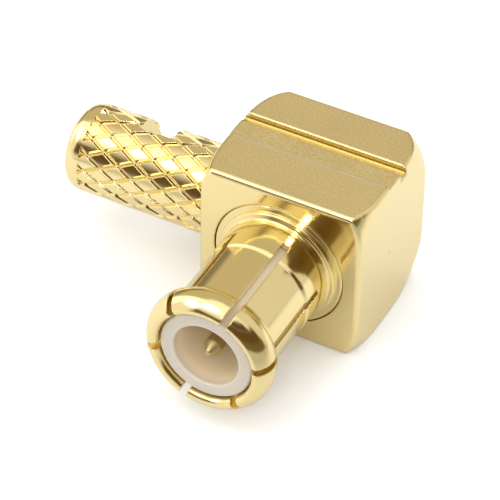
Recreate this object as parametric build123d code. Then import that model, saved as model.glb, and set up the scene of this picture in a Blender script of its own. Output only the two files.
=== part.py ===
from build123d import *
import math
import os

# Right-angle coaxial plug with a slotted snap nose, for thin cable, in millimetres.
# The mating axis runs along -Y (the nose) and the cable axis along -X (the stem).
# They cross at the centre of the head, and the part rests on the head's bottom flat at Z = 0.
# Distances called out or along the nose are measured from the cable axis towards -Y.

# Head
across_flats = 4.95
front_flat = 1.93
back_flat = 2.27
bar_radius = 3.4
head_right = 2.48
head_left = 2.48
end_round = 1.1
edge_break = 0.15
centre_mark_radius = 0.07
centre_mark_depth = 0.04

# Cutter marks in the top flat
top_groove_offset = 0.64
top_groove_width = 0.26
top_groove_depth = 0.19
top_groove_round = 0.1
top_groove_lip = 0.085
top_groove_brim_rise = 0.004
top_step_offset = -0.22
top_step_drop = 0.07

# Crimp stem
stem_end = 7.35
stem_radius = 1.3
stem_bore_radius = 0.8
stem_tip_round = 0.45
bore_mouth_chamfer = 0.05
window_centre = 4.94
window_width = 1.02

# Knurl
knurl_starts = 16
knurl_axial_pitch = 1.0
knurl_depth = 0.08
knurl_tip_land = 0.58
knurl_root_land = 0.08
knurl_first_row = -0.29
knurl_first_angle = 14.4
groove_half_width_top = 0.07
groove_half_width_root = 0.015
pad_margin = 0.03

# Solder chamber and rear cap
chamber_radius = 1.45
cap_radius = 1.7
cap_thickness = 0.7
cap_edge_chamfer = 0.08

# Spring collar
flange_radius = 1.97
flange_depth = 1.06
flange_edge_chamfer = 0.04
ring_radius = 1.78
ring_height = 0.13
ring_round = 0.06
base_radius = 1.6
base_end = 3.2
base_fillet = 0.08
barrel_radius = 1.56
barrel_step_length = 0.11
bead_peak = 5.77
bead_radius = 1.9
bead_round = 0.62
bead_root_fillet = 0.15
rim_radius = 1.63
rim_inner_round = 0.16
collar_bore_radius = 1.42
shoulder_bore_radius = 1.0
shoulder_front = 2.0
shoulder_thickness = 0.3
slot_count = 6
slot_width = 0.21
slot_first_angle = 8.0
slot_root = 2.63

# Insulators
insulator_radius = 1.375
insulator_recess = 0.16
insulator_edge_break = 0.04
socket_radius = 0.98
socket_depth = 2.6

# Centre contact
pin_radius = 0.25
pin_recess = 0.12
pin_point_length = 0.3
pin_point_radius = 0.07
pin_point_round = 0.05
pin_root_depth = 0.15
contact_shoulder_radius = 0.6
shank_radius = 0.45
shank_end = -0.45
wire_slot_width = 0.54
wire_slot_floor = 0.3

# Fits
press_gap = 0.02
pin_gap = 0.02

# How far cutters run past what they cut
overshoot = 1.0

# Levels that follow from the sizes above
axis_height = across_flats / 2
bead_centre_radius = bead_radius - bead_round
bead_root = bead_peak - math.sqrt(bead_round**2 - (barrel_radius - bead_centre_radius) ** 2)
nose_end = bead_peak + math.sqrt(bead_round**2 - (rim_radius - bead_centre_radius) ** 2)
flange_seat = front_flat - flange_depth
cap_seat = back_flat - cap_thickness
shoulder_back = shoulder_front - shoulder_thickness
insulator_face = nose_end - insulator_recess
socket_floor = insulator_face - socket_depth
pin_tip = insulator_face - pin_recess
pin_root = socket_floor - pin_root_depth
knurl_root_radius = stem_radius - knurl_depth

# Planes whose first direction runs out along the nose or along +X
nose_plane = Plane(origin=(0, 0, 0), x_dir=(0, -1, 0), z_dir=(1, 0, 0))
cable_plane = Plane.XZ


def closed_face(points):
    """Flat face inside a closed outline."""
    return make_face(Polyline(*points, close=True))


def turned_on_nose(face):
    """Solid turned about the mating axis from a face of (distance out, radius)."""
    return revolve(nose_plane * face, Axis.Y)


def turned_on_cable(face):
    """Solid turned about the cable axis from a face of (x, radius)."""
    return revolve(cable_plane * face, Axis.X)


def nose_cylinder(radius, start, end):
    """Cylinder on the mating axis between two distances out."""
    outline = [(start, 0), (end, 0), (end, radius), (start, radius)]
    return turned_on_nose(closed_face(outline))


def block(low, high):
    """Box between two corners."""
    size = [high[i] - low[i] for i in range(3)]
    middle = [(high[i] + low[i]) / 2 for i in range(3)]
    return Pos(*middle) * Box(*size)


def turned_head():
    """Bar blank with both ends rounded by the turning tool."""
    outline = [(-head_left, 0), (head_right, 0), (head_right, bar_radius), (-head_left, bar_radius)]
    face = closed_face(outline)
    corners = face.vertices().group_by(Axis.Y)[-1]
    return turned_on_cable(fillet(corners, end_round))


def milled_head():
    """Head after its four flats, with every edge broken."""
    reach = bar_radius + overshoot
    flats = block((-reach, -front_flat, -axis_height), (reach, back_flat, axis_height))
    head = turned_head() & flats
    return fillet(head.edges(), edge_break)


def top_groove_profile():
    """Cross-section of the groove's cutter, whose brim passes just above the flat."""
    floor = axis_height - top_groove_depth
    brim = axis_height + top_groove_brim_rise
    half = top_groove_width / 2
    reach = half + top_groove_lip * 2
    with BuildSketch() as section:
        with BuildLine():
            Polyline(
                (-reach, brim),
                (-half, brim),
                (-half, floor),
                (half, floor),
                (half, brim),
                (reach, brim),
                (reach, brim + overshoot),
                (-reach, brim + overshoot),
                close=True,
            )
        make_face()
        for side in (-half, half):
            fillet(section.vertices().sort_by_distance((side, brim))[0], top_groove_lip)
            fillet(section.vertices().sort_by_distance((side, floor))[0], top_groove_round)
    return section.sketch


def top_marks():
    """Groove and shallow step that the cutter leaves across the top flat."""
    reach = bar_radius + overshoot
    step = block(
        (-reach, top_step_offset, axis_height - top_step_drop),
        (reach, top_groove_offset, axis_height + overshoot),
    )
    across = Plane(origin=(-reach, top_groove_offset, 0), x_dir=(0, 1, 0), z_dir=(1, 0, 0))
    return step + extrude(across * top_groove_profile(), 2 * reach)


def knurl_diamond(level, groove_half_width):
    """Outline of one knurl pad on the plane at this distance from the cable axis."""
    half_length = knurl_axial_pitch / 2
    half_width = math.pi * level / knurl_starts
    edge_distance = half_length * half_width / math.hypot(half_length, half_width)
    share = 1 - groove_half_width / edge_distance
    along = half_length * share
    across = half_width * share
    return Plane.XY.offset(level) * closed_face([(along, 0), (0, across), (-along, 0), (0, -across)])


def knurl_pad():
    """One four-sided pad, from below the groove roots to above the stem's surface."""
    slope = (groove_half_width_top - groove_half_width_root) / knurl_depth
    foot = knurl_diamond(knurl_root_radius - pad_margin, groove_half_width_root - slope * pad_margin)
    top = knurl_diamond(stem_radius + pad_margin, groove_half_width_top + slope * pad_margin)
    return loft([foot, top])


def knurled_stem():
    """Crimp stem with crossed grooves that leave rows of staggered pads."""
    knurl_start = -stem_end + knurl_tip_land
    knurl_stop = -head_left - knurl_root_land
    outline = [
        (-stem_end, 0),
        (0, 0),
        (0, stem_radius),
        (knurl_stop, stem_radius),
        (knurl_stop, knurl_root_radius),
        (knurl_start, knurl_root_radius),
        (knurl_start, stem_radius),
        (-stem_end, stem_radius),
    ]
    face = closed_face(outline)
    tip = face.vertices().group_by(Axis.X)[0].sort_by(Axis.Y)[-1]
    stem = turned_on_cable(fillet(tip, stem_tip_round))
    span = [(knurl_start, 0), (knurl_stop, 0), (knurl_stop, stem_radius), (knurl_start, stem_radius)]
    stock = turned_on_cable(closed_face(span))
    pad = knurl_pad()
    row_step = knurl_axial_pitch / 2
    first = knurl_start + knurl_first_row
    rows = int((knurl_stop - first) / row_step) + 1
    turn = 360 / knurl_starts
    pads = []
    for row in range(rows):
        turned_pad = Pos(X=first + row * row_step) * pad & stock
        for start in range(knurl_starts):
            angle = knurl_first_angle + (start + row % 2 / 2) * turn
            pads.append(Rot(X=angle) * turned_pad)
    return stem + pads


def stem_window():
    """Slot milled from the back to the middle of the stem, opening its bore."""
    half = window_width / 2
    reach = stem_radius + overshoot
    return block((-window_centre - half, 0, -reach), (-window_centre + half, reach, reach))


def cable_bore():
    """Bore of the stem up to the solder chamber, with a chamfered mouth."""
    outline = [
        (-stem_end - overshoot, 0),
        (0, 0),
        (0, stem_bore_radius),
        (-stem_end + bore_mouth_chamfer, stem_bore_radius),
        (-stem_end, stem_bore_radius + bore_mouth_chamfer),
        (-stem_end - overshoot, stem_bore_radius + bore_mouth_chamfer),
    ]
    return turned_on_cable(closed_face(outline))


def centre_mark():
    """Small dimple that the turning centre leaves in the head's right end."""
    outline = [
        (head_right - centre_mark_depth, 0),
        (head_right, 0),
        (head_right, centre_mark_radius),
    ]
    return turned_on_cable(closed_face(outline))


def make_body():
    """Head and knurled crimp stem, one turned and milled piece."""
    body = milled_head() + knurled_stem()
    body -= [stem_window(), cable_bore(), centre_mark(), top_marks()]
    body -= nose_cylinder(chamber_radius, -back_flat, front_flat)
    body -= nose_cylinder(flange_radius + press_gap, flange_seat, front_flat + overshoot)
    body -= nose_cylinder(cap_radius + press_gap, -back_flat - overshoot, -cap_seat)
    return body


def collar_profile():
    """Half section of the spring collar, from its flange to the snap bead."""
    ring_top = front_flat + ring_height
    with BuildSketch() as section:
        with BuildLine():
            Polyline(
                (bead_root, barrel_radius),
                (base_end + barrel_step_length, barrel_radius),
                (base_end, base_radius),
                (ring_top, base_radius),
                (ring_top, ring_radius),
                (front_flat, ring_radius),
                (front_flat, flange_radius - flange_edge_chamfer),
                (front_flat - flange_edge_chamfer, flange_radius),
                (flange_seat, flange_radius),
                (flange_seat, collar_bore_radius),
                (shoulder_back, collar_bore_radius),
                (shoulder_back, shoulder_bore_radius),
                (shoulder_front, shoulder_bore_radius),
                (shoulder_front, collar_bore_radius),
                (nose_end, collar_bore_radius),
                (nose_end, rim_radius),
            )
            ThreePointArc(
                (nose_end, rim_radius),
                (bead_peak, bead_radius),
                (bead_root, barrel_radius),
            )
        make_face()
        for corner, radius in (
            ((ring_top, base_radius), base_fillet),
            ((ring_top, ring_radius), ring_round),
            ((bead_root, barrel_radius), bead_root_fillet),
            ((nose_end, collar_bore_radius), rim_inner_round),
        ):
            fillet(section.vertices().sort_by_distance(corner)[0], radius)
    return section.sketch


def collar_slots():
    """Cutters of the slots that part the nose into spring fingers."""
    length = nose_end + overshoot - slot_root
    middle = -(nose_end + overshoot + slot_root) / 2
    blade = Pos(bead_radius, middle, 0) * Box(bead_radius * 2, length, slot_width)
    return [
        Rot(Y=-(slot_first_angle + index * 360 / slot_count)) * blade
        for index in range(slot_count)
    ]


def make_outer_contact():
    """Spring collar: flange, base, slotted barrel and snap bead, one turned piece."""
    return turned_on_nose(collar_profile()) - collar_slots()


def make_front_insulator():
    """Long sleeve inside the collar, open at the front round the pin."""
    hole = pin_radius + pin_gap
    wide_hole = shank_radius + pin_gap
    seat_radius = collar_bore_radius - press_gap
    outline = [
        (shoulder_front, wide_hole),
        (pin_root + pin_gap, wide_hole),
        (pin_root + pin_gap, hole),
        (socket_floor, hole),
        (socket_floor, socket_radius),
        (insulator_face - insulator_edge_break, socket_radius),
        (insulator_face, socket_radius + insulator_edge_break),
        (insulator_face, insulator_radius - insulator_edge_break),
        (insulator_face - insulator_edge_break, insulator_radius),
        (slot_root, insulator_radius),
        (slot_root, seat_radius),
        (shoulder_front, seat_radius),
    ]
    return turned_on_nose(closed_face(outline))


def make_rear_insulator():
    """Bush behind the collar's shoulder, round the contact's shank."""
    hole = shank_radius + pin_gap
    seat_radius = collar_bore_radius - press_gap
    outline = [
        (flange_seat, hole),
        (shoulder_back, hole),
        (shoulder_back, seat_radius),
        (flange_seat, seat_radius),
    ]
    return turned_on_nose(closed_face(outline))


def make_centre_contact():
    """Pin with a captive shoulder and a slotted tail for the cable's wire."""
    outline = [
        (shank_end, 0),
        (pin_tip, 0),
        (pin_tip, pin_point_radius),
        (pin_tip - pin_point_length, pin_radius),
        (pin_root, pin_radius),
        (pin_root, shank_radius),
        (shoulder_front, shank_radius),
        (shoulder_front, contact_shoulder_radius),
        (shoulder_back, contact_shoulder_radius),
        (shoulder_back, shank_radius),
        (shank_end, shank_radius),
    ]
    face = closed_face(outline)
    point = face.vertices().group_by(Axis.X)[-1].sort_by(Axis.Y)[-1]
    contact = turned_on_nose(fillet(point, pin_point_round))
    half = wire_slot_width / 2
    slot = block(
        (-shank_radius - overshoot, -wire_slot_floor, -half),
        (shank_radius + overshoot, -shank_end + overshoot, half),
    )
    return contact - slot


def make_rear_cap():
    """Disc pressed into the back of the head over the solder chamber."""
    outline = [
        (-back_flat, 0),
        (-cap_seat, 0),
        (-cap_seat, cap_radius),
        (-back_flat + cap_edge_chamfer, cap_radius),
        (-back_flat, cap_radius - cap_edge_chamfer),
    ]
    return turned_on_nose(closed_face(outline))


pieces = {
    "body": make_body,
    "outer_contact": make_outer_contact,
    "front_insulator": make_front_insulator,
    "rear_insulator": make_rear_insulator,
    "centre_contact": make_centre_contact,
    "rear_cap": make_rear_cap,
}

os.makedirs("parts", exist_ok=True)
for name, make in pieces.items():
    piece = Pos(Z=axis_height) * make()
    export_step(piece, f"parts/{name}.step")
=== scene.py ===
import math

import bpy
from mathutils import Matrix, Vector


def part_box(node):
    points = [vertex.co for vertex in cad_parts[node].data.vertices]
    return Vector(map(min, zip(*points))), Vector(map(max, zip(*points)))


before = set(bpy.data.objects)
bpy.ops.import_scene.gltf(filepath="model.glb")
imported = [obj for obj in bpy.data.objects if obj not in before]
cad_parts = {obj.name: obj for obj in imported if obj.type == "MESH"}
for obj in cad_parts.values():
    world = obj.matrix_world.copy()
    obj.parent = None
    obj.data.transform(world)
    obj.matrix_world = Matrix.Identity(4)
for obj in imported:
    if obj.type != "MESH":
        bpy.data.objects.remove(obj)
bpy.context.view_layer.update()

# Named sizes and places are in millimetres, unless a comment says otherwise

MM = 0.001
WHITE = (1, 1, 1, 1)

# Camera: its angles are in radians and its focal length is in pixels of the photograph

IMAGE_SIDE = 500
SENSOR = 36.0
FOCAL_PIXELS = 3043.5
CAMERA_AZIMUTH = 0.47335
CAMERA_ELEVATION = 0.72649
CAMERA_ROLL = 0.019789
CAMERA_DISTANCE = 84.836
CAMERA_RIGHT = -1.66969
CAMERA_UP = -0.740946
CLIP_NEAR = 2
CLIP_FAR = 5000


def direction(azimuth, elevation):
    """Unit vector, from angles in radians; azimuth 0 is in front of the nose."""
    flat = math.cos(elevation)
    return Vector((math.sin(azimuth) * flat, -math.cos(azimuth) * flat, math.sin(elevation)))


def add_camera(centre):
    """Camera at the photograph's angle; centre is where the plug's two axes cross."""
    az, el, roll = CAMERA_AZIMUTH, CAMERA_ELEVATION, CAMERA_ROLL
    back = direction(az, el)
    level = Vector((math.cos(az), math.sin(az), 0))
    upright = back.cross(level)
    right = math.cos(roll) * level + math.sin(roll) * upright
    up = math.cos(roll) * upright - math.sin(roll) * level
    data = bpy.data.cameras.new("camera")
    data.sensor_width = SENSOR
    data.lens = FOCAL_PIXELS * SENSOR / IMAGE_SIDE
    data.clip_start = CLIP_NEAR * MM
    data.clip_end = CLIP_FAR * MM
    camera = bpy.data.objects.new("camera", data)
    place = centre + (CAMERA_DISTANCE * back + CAMERA_RIGHT * right + CAMERA_UP * up) * MM
    turn = Matrix((right, up, back)).transposed()
    camera.matrix_world = Matrix.Translation(place) @ turn.to_4x4()
    bpy.context.scene.collection.objects.link(camera)
    bpy.context.scene.camera = camera


# Nodes

MIX_SOCKETS = {"FLOAT": (2, 3, 0), "RGBA": (6, 7, 2)}  # first input, second input, output
NOISE_RANGE = (0.2, 0.8)  # below and above it, a noise counts as 0 and 1
FALLING = (1.0, 0.0)  # what a step gives that goes down
NEAR_CORE = 0.6  # share of the reach within which near gives 1


class Nodes:
    """The owner's node tree, emptied, with short ways to add nodes and to join them."""

    def __init__(self, owner):
        owner.use_nodes = True
        self.tree = owner.node_tree
        self.tree.nodes.clear()

    def add(self, kind, **settings):
        node = self.tree.nodes.new(kind)
        for name, value in settings.items():
            setattr(node, name, value)
        return node

    def wire(self, socket, value):
        """Joins value, a socket or a constant, to an input socket."""
        if isinstance(value, bpy.types.NodeSocket):
            self.tree.links.new(value, socket)
        else:
            socket.default_value = value

    def split(self, vector):
        """The x, y and z of a vector."""
        node = self.add("ShaderNodeSeparateXYZ")
        self.wire(node.inputs[0], vector)
        return node.outputs

    def place(self):
        """The point that is shaded."""
        return self.add("ShaderNodeTexCoord").outputs["Object"]

    def normal(self):
        """The way the surface faces there."""
        return self.add("ShaderNodeNewGeometry").outputs["Normal"]

    def maths(self, operation, *values, clamp=False):
        node = self.add("ShaderNodeMath", operation=operation, use_clamp=clamp)
        for socket, value in zip(node.inputs, values):
            self.wire(socket, value)
        return node.outputs[0]

    def absolute(self, value):
        return self.maths("ABSOLUTE", value)

    def step(self, value, limits, out=(0.0, 1.0)):
        """Smooth step from out[0] at the first limit to out[1] at the second one."""
        node = self.add("ShaderNodeMapRange", interpolation_type="SMOOTHSTEP")
        for socket, number in zip(node.inputs, (value, *limits, *out)):
            self.wire(socket, number)
        return node.outputs[0]

    def near(self, value, centre, reach):
        """1 near the centre, falling to 0 at reach on either side."""
        off = self.absolute(self.maths("SUBTRACT", value, centre))
        return self.step(off, (reach * NEAR_CORE, reach), FALLING)

    def mixed(self, factor, first, second, kind="RGBA"):
        node = self.add("ShaderNodeMix", data_type=kind)
        first_input, second_input, output = MIX_SOCKETS[kind]
        self.wire(node.inputs[0], factor)
        self.wire(node.inputs[first_input], first)
        self.wire(node.inputs[second_input], second)
        return node.outputs[output]

    def noise(self, vector, scale, detail, roughness):
        node = self.add("ShaderNodeTexNoise")
        self.wire(node.inputs["Vector"], vector)
        node.inputs["Scale"].default_value = scale
        node.inputs["Detail"].default_value = detail
        node.inputs["Roughness"].default_value = roughness
        return node.outputs["Fac"]

    def rings(self, place, across, along):
        """Rings round the mating axis: a noise that changes quickly along it and slowly across."""
        node = self.add("ShaderNodeMapping")
        self.wire(node.inputs["Vector"], place)
        node.inputs["Scale"].default_value = (across, along, across)
        return self.noise(node.outputs[0], *RING_NOISE)

    def bumped(self, shader, height, depth, edge=None):
        """Bump of the given depth; edge is the radius, in metres, that softens the edges."""
        bump = self.add("ShaderNodeBump")
        if edge is not None:
            bevel = self.add("ShaderNodeBevel", samples=4)
            self.wire(bevel.inputs["Radius"], edge)
            self.wire(bump.inputs["Normal"], bevel.outputs[0])
        bump.inputs["Strength"].default_value = 1.0
        bump.inputs["Distance"].default_value = depth * MM
        self.wire(bump.inputs["Height"], height)
        self.wire(shader.inputs["Normal"], bump.outputs[0])


# Studio: angles are in degrees, and azimuth 0 is in front of the nose, 90 beyond the head's end

HORIZON = (0.98, 0.965, 0.94, 1)
ZENITH = (1.25, 1.24, 1.16, 1)
ZENITH_BEGINS = (44, 66)
SKY_ON_PAPER = 1.42

# Cards and boxes seen from the plug: name, azimuth, elevation, half width, half height, soft edge, colour
STUDIO = (
    ("side wall", 128, 28, 30, 34, 14, (0.78, 0.75, 0.70, 1)),
    ("back wall", -155, 30, 49, 34, 14, (0.60, 0.53, 0.40, 1)),
    ("back low", -160, 1, 50, 13, 12, (0.26, 0.22, 0.16, 1)),
    ("left box", -93, 30, 13, 34, 6, (1.7, 1.68, 1.58, 1)),
    ("window", -64, 45, 19, 12, 8, (3.6, 3.5, 3.3, 1)),
    ("window top", -62, 62, 44, 10, 8, (1.45, 1.42, 1.33, 1)),
    ("tent mouth", 36, 23, 76, 15, 11, (0.105, 0.058, 0.012, 1)),
    ("table", 70, 2, 46, 12, 10, (0.16, 0.11, 0.04, 1)),
    ("camera", 56, 44, 30, 9, 10, (0.10, 0.056, 0.012, 1)),
)

# Lamps: name, azimuth, elevation, distance, diameter, radiance
LAMPS = (
    ("key", -30, 65, 120, 60, 1.6),
    ("glint", 18, 46, 90, 11, 20.0),
)

FLOOR_HALF_SIDE = 600
FLOOR_DROP = 0.002
PAPER_TO_CAMERA = (0.92, 0.92, 0.92, 1)
PAPER_TO_PLUG = (0.70, 0.70, 0.70, 1)
# Painted shade on the paper towards the front right, seen only in the plug's mirrors
PAPER_PAINTED_SHADE_TO_PLUG = (0.36, 0.355, 0.345, 1)
PAPER_PAINTED_SHADE_SPAN = (4, 24)  # X minus Y, which grows towards the front right


def within(nodes, angle, half, soft):
    """1 where an angle is smaller than half, 0 beyond, with an edge that is soft degrees wide."""
    limits = (math.radians(half - soft / 2), math.radians(half + soft / 2))
    return nodes.step(nodes.absolute(angle), limits, FALLING)


def tent_colour(nodes):
    """What a mirror on the plug sees: the tent's white with the cards and boxes in it."""
    x, y, z = nodes.split(nodes.add("ShaderNodeTexCoord").outputs["Generated"])
    azimuth = nodes.maths("ARCTAN2", x, nodes.maths("MULTIPLY", y, -1.0))
    elevation = nodes.maths("ARCSINE", z)
    zenith = nodes.step(elevation, [math.radians(limit) for limit in ZENITH_BEGINS])
    colour = nodes.mixed(zenith, HORIZON, ZENITH)
    for name, az, el, half_width, half_height, soft, tint in STUDIO:
        aside = nodes.maths("SUBTRACT", azimuth, math.radians(az))
        aside = nodes.maths("WRAP", aside, math.pi, -math.pi)
        above = nodes.maths("SUBTRACT", elevation, math.radians(el))
        card = nodes.maths(
            "MULTIPLY",
            within(nodes, aside, half_width, soft),
            within(nodes, above, half_height, soft),
        )
        colour = nodes.mixed(card, colour, tint)
        colour.node.label = name
    return colour


def background(nodes, colour, strength=1.0):
    node = nodes.add("ShaderNodeBackground")
    nodes.wire(node.inputs["Color"], colour)
    node.inputs["Strength"].default_value = strength
    return node.outputs[0]


def either(nodes, factor, first, second):
    """The first shader where factor is 0, the second one where it is 1."""
    node = nodes.add("ShaderNodeMixShader")
    for socket, value in zip(node.inputs, (factor, first, second)):
        nodes.wire(socket, value)
    return node.outputs[0]


def add_world():
    """White for the camera, the tent for the plug's mirrors and an even sky for the paper."""
    world = bpy.data.worlds.new("studio")
    bpy.context.scene.world = world
    nodes = Nodes(world)
    ray = nodes.add("ShaderNodeLightPath").outputs
    shiny = nodes.maths("ADD", ray["Is Glossy Ray"], ray["Is Transmission Ray"], clamp=True)
    sky = background(nodes, WHITE, SKY_ON_PAPER)
    around = either(nodes, shiny, sky, background(nodes, tent_colour(nodes)))
    seen = either(nodes, ray["Is Camera Ray"], around, background(nodes, WHITE))
    out = nodes.add("ShaderNodeOutputWorld")
    nodes.wire(out.inputs["Surface"], seen)


def add_lamp(name, azimuth, elevation, distance, diameter, radiance):
    """Round soft lamp that faces the plug; radiance 1 looks white in a mirror."""
    data = bpy.data.lights.new(name, "AREA")
    data.shape = "DISK"
    data.size = diameter * MM
    data.energy = radiance * math.pi * math.pi * (diameter * MM / 2) ** 2
    back = direction(math.radians(azimuth), math.radians(elevation))
    lamp = bpy.data.objects.new(name, data)
    lamp.location = back * distance * MM
    lamp.rotation_mode = "QUATERNION"
    lamp.rotation_quaternion = back.to_track_quat("Z", "Y")
    bpy.context.scene.collection.objects.link(lamp)


def paper():
    """Pale paper, darker to the plug's mirrors than to the camera, with painted shade at the front right
    that only the mirrors see.
    """
    material = bpy.data.materials.new("paper")
    nodes = Nodes(material)
    at = nodes.split(nodes.place())
    away = nodes.maths("SUBTRACT", at["X"], at["Y"])
    # Painted shade, growing towards the front right
    painted_shade = nodes.step(away, [limit * MM for limit in PAPER_PAINTED_SHADE_SPAN])
    to_plug = nodes.mixed(painted_shade, PAPER_TO_PLUG, PAPER_PAINTED_SHADE_TO_PLUG)
    seen = nodes.add("ShaderNodeLightPath").outputs["Is Camera Ray"]
    sheet = nodes.add("ShaderNodeBsdfDiffuse")
    nodes.wire(sheet.inputs["Color"], nodes.mixed(seen, to_plug, PAPER_TO_CAMERA))
    out = nodes.add("ShaderNodeOutputMaterial")
    nodes.wire(out.inputs["Surface"], sheet.outputs[0])
    return material


def add_floor():
    """A flat sheet of paper just under the plug."""
    side = FLOOR_HALF_SIDE * MM
    corners = [(-side, -side, 0), (side, -side, 0), (side, side, 0), (-side, side, 0)]
    mesh = bpy.data.meshes.new("floor")
    mesh.from_pydata(corners, [], [(0, 1, 2, 3)])
    mesh.materials.append(paper())
    floor = bpy.data.objects.new("floor", mesh)
    bpy.context.scene.collection.objects.link(floor)
    floor.location.z = -FLOOR_DROP * MM


# Noises: scale per metre, detail and roughness

BODY_CLOUD = (450, 3.0, 0.55)
BODY_GRAIN = (20000, 3.0, 0.6)
BODY_FINE = (26000, 2.0, 0.6)
BODY_WAVE = (700, 2.0, 0.5)
TURNED_CLOUD = (500, 3.0, 0.55)
TURNED_WAVE = (800, 2.0, 0.5)
PLASTIC_CLOUD = (600, 3.0, 0.5)
RING_NOISE = (1.0, 2.0, 0.6)
TURNED_RINGS = (300, 16000)  # scales across the axis and along it
PLASTIC_RINGS = (400, 9000)

# Gold: pairs are the two ends that a slow noise, the cloud, moves between

GOLD = ((0.91, 0.745, 0.365, 1), (0.94, 0.785, 0.40, 1))
GOLD_SATIN = ((0.75, 0.61, 0.305, 1), (0.955, 0.80, 0.435, 1))
# Painted shade: a darker gold that stands in for the shade inside the top flat's groove
GROOVE_PAINTED_SHADE = (0.62, 0.46, 0.15, 1)
# Painted highlight: a pale line along the step on the top flat
STEP_PAINTED_HIGHLIGHT = (1.0, 0.94, 0.74, 1)
POLISHED_ROUGHNESS = (0.10, 0.17)
SATIN_ROUGHNESS = (0.30, 0.40)
TURNED_ROUGHNESS = (0.09, 0.14)
PIN_ROUGHNESS = (0.32, 0.40)
TURNED_EDGE = 0.06
PIN_EDGE = 0.04
# Scales the pin's colour down: painted shade for the pin deep in its socket
PIN_PAINTED_SHADE = 0.62
GRAIN_RANGE = (0.3, 0.7)
GRAIN_ON_POLISH = 0.1
WAVE_SHARE = 0.5
BODY_BUMP = 0.003
TURNED_BUMP = 0.0012

# The top flat: places along Y, depths below the flat, and how level a satin face is
GROOVE_AT = 0.64
GROOVE_REACH = 0.26
GROOVE_LIP = (0.095, 0.08)
GROOVE_FLOOR = (0.35, 0.30)
# Where the painted highlight along the step lies, and how far it reaches
STEP_AT = -0.22
STEP_REACH = 0.07
LEVEL = (0.985, 0.998)

# The head's finish takes over from the stem's near the head's left face, where edges widen too
STEM_SIDE = 0.12
HEAD_SIDE = 0.08
STEM_EDGE = 0.03
HEAD_EDGE = 0.08


def surface(name):
    """A new material with its nodes, its shader and the place of the point that is shaded."""
    material = bpy.data.materials.new(name)
    nodes = Nodes(material)
    shader = nodes.add("ShaderNodeBsdfPrincipled")
    out = nodes.add("ShaderNodeOutputMaterial")
    nodes.wire(out.inputs["Surface"], shader.outputs[0])
    return material, nodes, shader, nodes.place()


def gold_body():
    """Plated head and stem: top and bottom flats satin from the mill, the rest polished, with a painted
    shade in the groove and a painted highlight along the step.
    """
    material, nodes, shader, place = surface("gold_body")
    x, y, z = nodes.split(place)
    head_face = -body_high.x
    face_limits = (head_face - STEM_SIDE * MM, head_face + HEAD_SIDE * MM)
    on_head = nodes.step(x, face_limits)

    lip = [body_high.z - depth * MM for depth in GROOVE_LIP]
    floor = [body_high.z - depth * MM for depth in GROOVE_FLOOR]
    groove = nodes.near(y, GROOVE_AT * MM, GROOVE_REACH * MM)
    groove = nodes.maths("MULTIPLY", groove, nodes.step(z, lip, FALLING))
    groove = nodes.maths("MULTIPLY", groove, nodes.step(z, floor))
    groove = nodes.maths("MULTIPLY", groove, on_head)
    level = nodes.step(nodes.absolute(nodes.split(nodes.normal())["Z"]), LEVEL)
    satin = nodes.maths("MULTIPLY", level, on_head)
    satin = nodes.maths("SUBTRACT", satin, groove, clamp=True)
    # Where the painted highlight along the step goes
    step_painted_highlight = nodes.maths("MULTIPLY", satin, nodes.near(y, STEP_AT * MM, STEP_REACH * MM))

    cloud = nodes.noise(place, *BODY_CLOUD)
    polished = nodes.step(cloud, NOISE_RANGE, POLISHED_ROUGHNESS)
    milled = nodes.step(cloud, NOISE_RANGE, SATIN_ROUGHNESS)
    nodes.wire(shader.inputs["Roughness"], nodes.mixed(satin, polished, milled, "FLOAT"))

    grain = nodes.step(nodes.noise(place, *BODY_GRAIN), GRAIN_RANGE)
    dull = nodes.mixed(grain, *GOLD_SATIN)
    # Painted highlight along the step
    dull = nodes.mixed(step_painted_highlight, dull, STEP_PAINTED_HIGHLIGHT)
    bright = nodes.mixed(cloud, *GOLD)
    # Painted shade inside the groove
    bright = nodes.mixed(groove, bright, GROOVE_PAINTED_SHADE)
    nodes.wire(shader.inputs["Base Color"], nodes.mixed(satin, bright, dull))

    share = nodes.maths("MULTIPLY_ADD", satin, 1 - GRAIN_ON_POLISH, GRAIN_ON_POLISH)
    fine = nodes.maths("MULTIPLY", nodes.noise(place, *BODY_FINE), share)
    wave = nodes.noise(place, *BODY_WAVE)
    height = nodes.maths("MULTIPLY_ADD", wave, WAVE_SHARE, fine)
    edge = nodes.step(x, face_limits, (STEM_EDGE * MM, HEAD_EDGE * MM))
    nodes.bumped(shader, height, BODY_BUMP, edge)
    shader.inputs["Metallic"].default_value = 1.0
    return material


def gold_turned(name, roughness, edge, painted_light=1.0):
    """Plated turned parts, with the faint rings of the lathe round the mating axis; painted_light below 1
    darkens the colour as painted shade.
    """
    material, nodes, shader, place = surface(name)
    cloud = nodes.noise(place, *TURNED_CLOUD)
    nodes.wire(shader.inputs["Roughness"], nodes.step(cloud, NOISE_RANGE, roughness))
    tones = [[channel * painted_light for channel in tone[:3]] + [1] for tone in GOLD]
    nodes.wire(shader.inputs["Base Color"], nodes.mixed(cloud, *tones))
    wave = nodes.noise(place, *TURNED_WAVE)
    height = nodes.maths("MULTIPLY_ADD", wave, WAVE_SHARE, nodes.rings(place, *TURNED_RINGS))
    nodes.bumped(shader, height, TURNED_BUMP, edge * MM)
    shader.inputs["Metallic"].default_value = 1.0
    return material


# White plastic: pairs are the two ends of the cloud again

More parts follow.
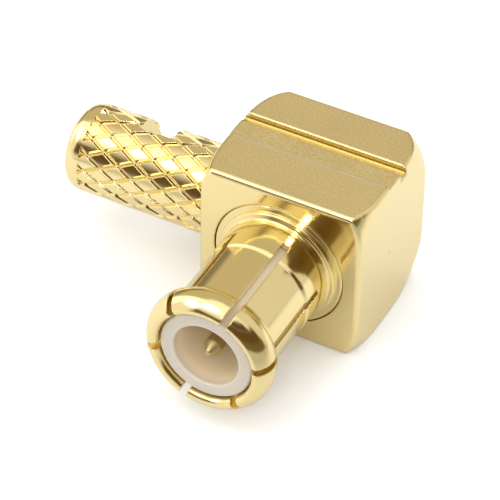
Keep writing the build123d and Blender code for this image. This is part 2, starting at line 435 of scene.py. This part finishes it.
PLASTIC_END = ((0.54, 0.485, 0.40, 1), (0.59, 0.53, 0.45, 1))
# Painted light: a warm tone on the socket's walls that stands in for light bounced from the gold
PLASTIC_WALL_PAINTED_GOLD_LIGHT = ((0.75, 0.62, 0.41, 1), (0.80, 0.68, 0.47, 1))
PLASTIC_ROUGHNESS = (0.38, 0.52)
# Painted light: a faint glow on the socket's walls that stands in for light scattered through the plastic
PAINTED_GLOW_COLOUR = (1.0, 0.74, 0.42, 1)
PAINTED_GLOW_STRENGTH = 0.03
WALL_FACING = (0.3, 0.8)
SOCKET_MOUTH = (-6.14, -5.75)  # along Y, from the end face inwards
SCATTER = 0.6
SCATTER_COLOUR = (1.0, 0.8, 0.5)
SCATTER_REACH = 0.5
PLASTIC_BUMP = 0.003


def white_plastic():
    """Milky fluoroplastic: pale on its end face, with a painted warm light from the gold and a faint
    painted glow on the socket's walls.
    """
    material, nodes, shader, place = surface("white_plastic")
    inside = nodes.step(nodes.split(place)["Y"], [limit * MM for limit in SOCKET_MOUTH])
    facing = nodes.absolute(nodes.split(nodes.normal())["Y"])
    # The socket's walls, where the painted warm light and the painted glow go
    wall = nodes.maths("MULTIPLY", nodes.step(facing, WALL_FACING, FALLING), inside)

    cloud = nodes.noise(place, *PLASTIC_CLOUD)
    end_tone = nodes.mixed(cloud, *PLASTIC_END)
    wall_painted_gold_light = nodes.mixed(cloud, *PLASTIC_WALL_PAINTED_GOLD_LIGHT)
    nodes.wire(shader.inputs["Base Color"], nodes.mixed(wall, end_tone, wall_painted_gold_light))
    nodes.wire(shader.inputs["Roughness"], nodes.step(cloud, NOISE_RANGE, PLASTIC_ROUGHNESS))
    # Painted glow on the socket's walls
    painted_glow = nodes.maths("MULTIPLY", wall, PAINTED_GLOW_STRENGTH)
    nodes.wire(shader.inputs["Emission Strength"], painted_glow)
    shader.inputs["Emission Color"].default_value = PAINTED_GLOW_COLOUR
    shader.inputs["Subsurface Weight"].default_value = SCATTER
    shader.inputs["Subsurface Radius"].default_value = SCATTER_COLOUR
    shader.inputs["Subsurface Scale"].default_value = SCATTER_REACH * MM
    nodes.bumped(shader, nodes.rings(place, *PLASTIC_RINGS), PLASTIC_BUMP)
    return material


def dress(name, material):
    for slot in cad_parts[name].material_slots:
        slot.material = material


body_low, body_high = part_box("body")
axis_height = (body_low.z + body_high.z) / 2

turned = gold_turned("gold_turned", TURNED_ROUGHNESS, TURNED_EDGE)
plastic = white_plastic()
dress("body", gold_body())
dress("outer_contact", turned)
dress("centre_contact", gold_turned("gold_pin_painted_shade", PIN_ROUGHNESS, PIN_EDGE, PIN_PAINTED_SHADE))
dress("rear_cap", turned)
dress("front_insulator", plastic)
dress("rear_insulator", plastic)

add_camera(Vector((0, 0, axis_height)))
add_world()
add_floor()
for lamp in LAMPS:
    add_lamp(*lamp)
bpy.context.scene.view_settings.view_transform = "Standard"
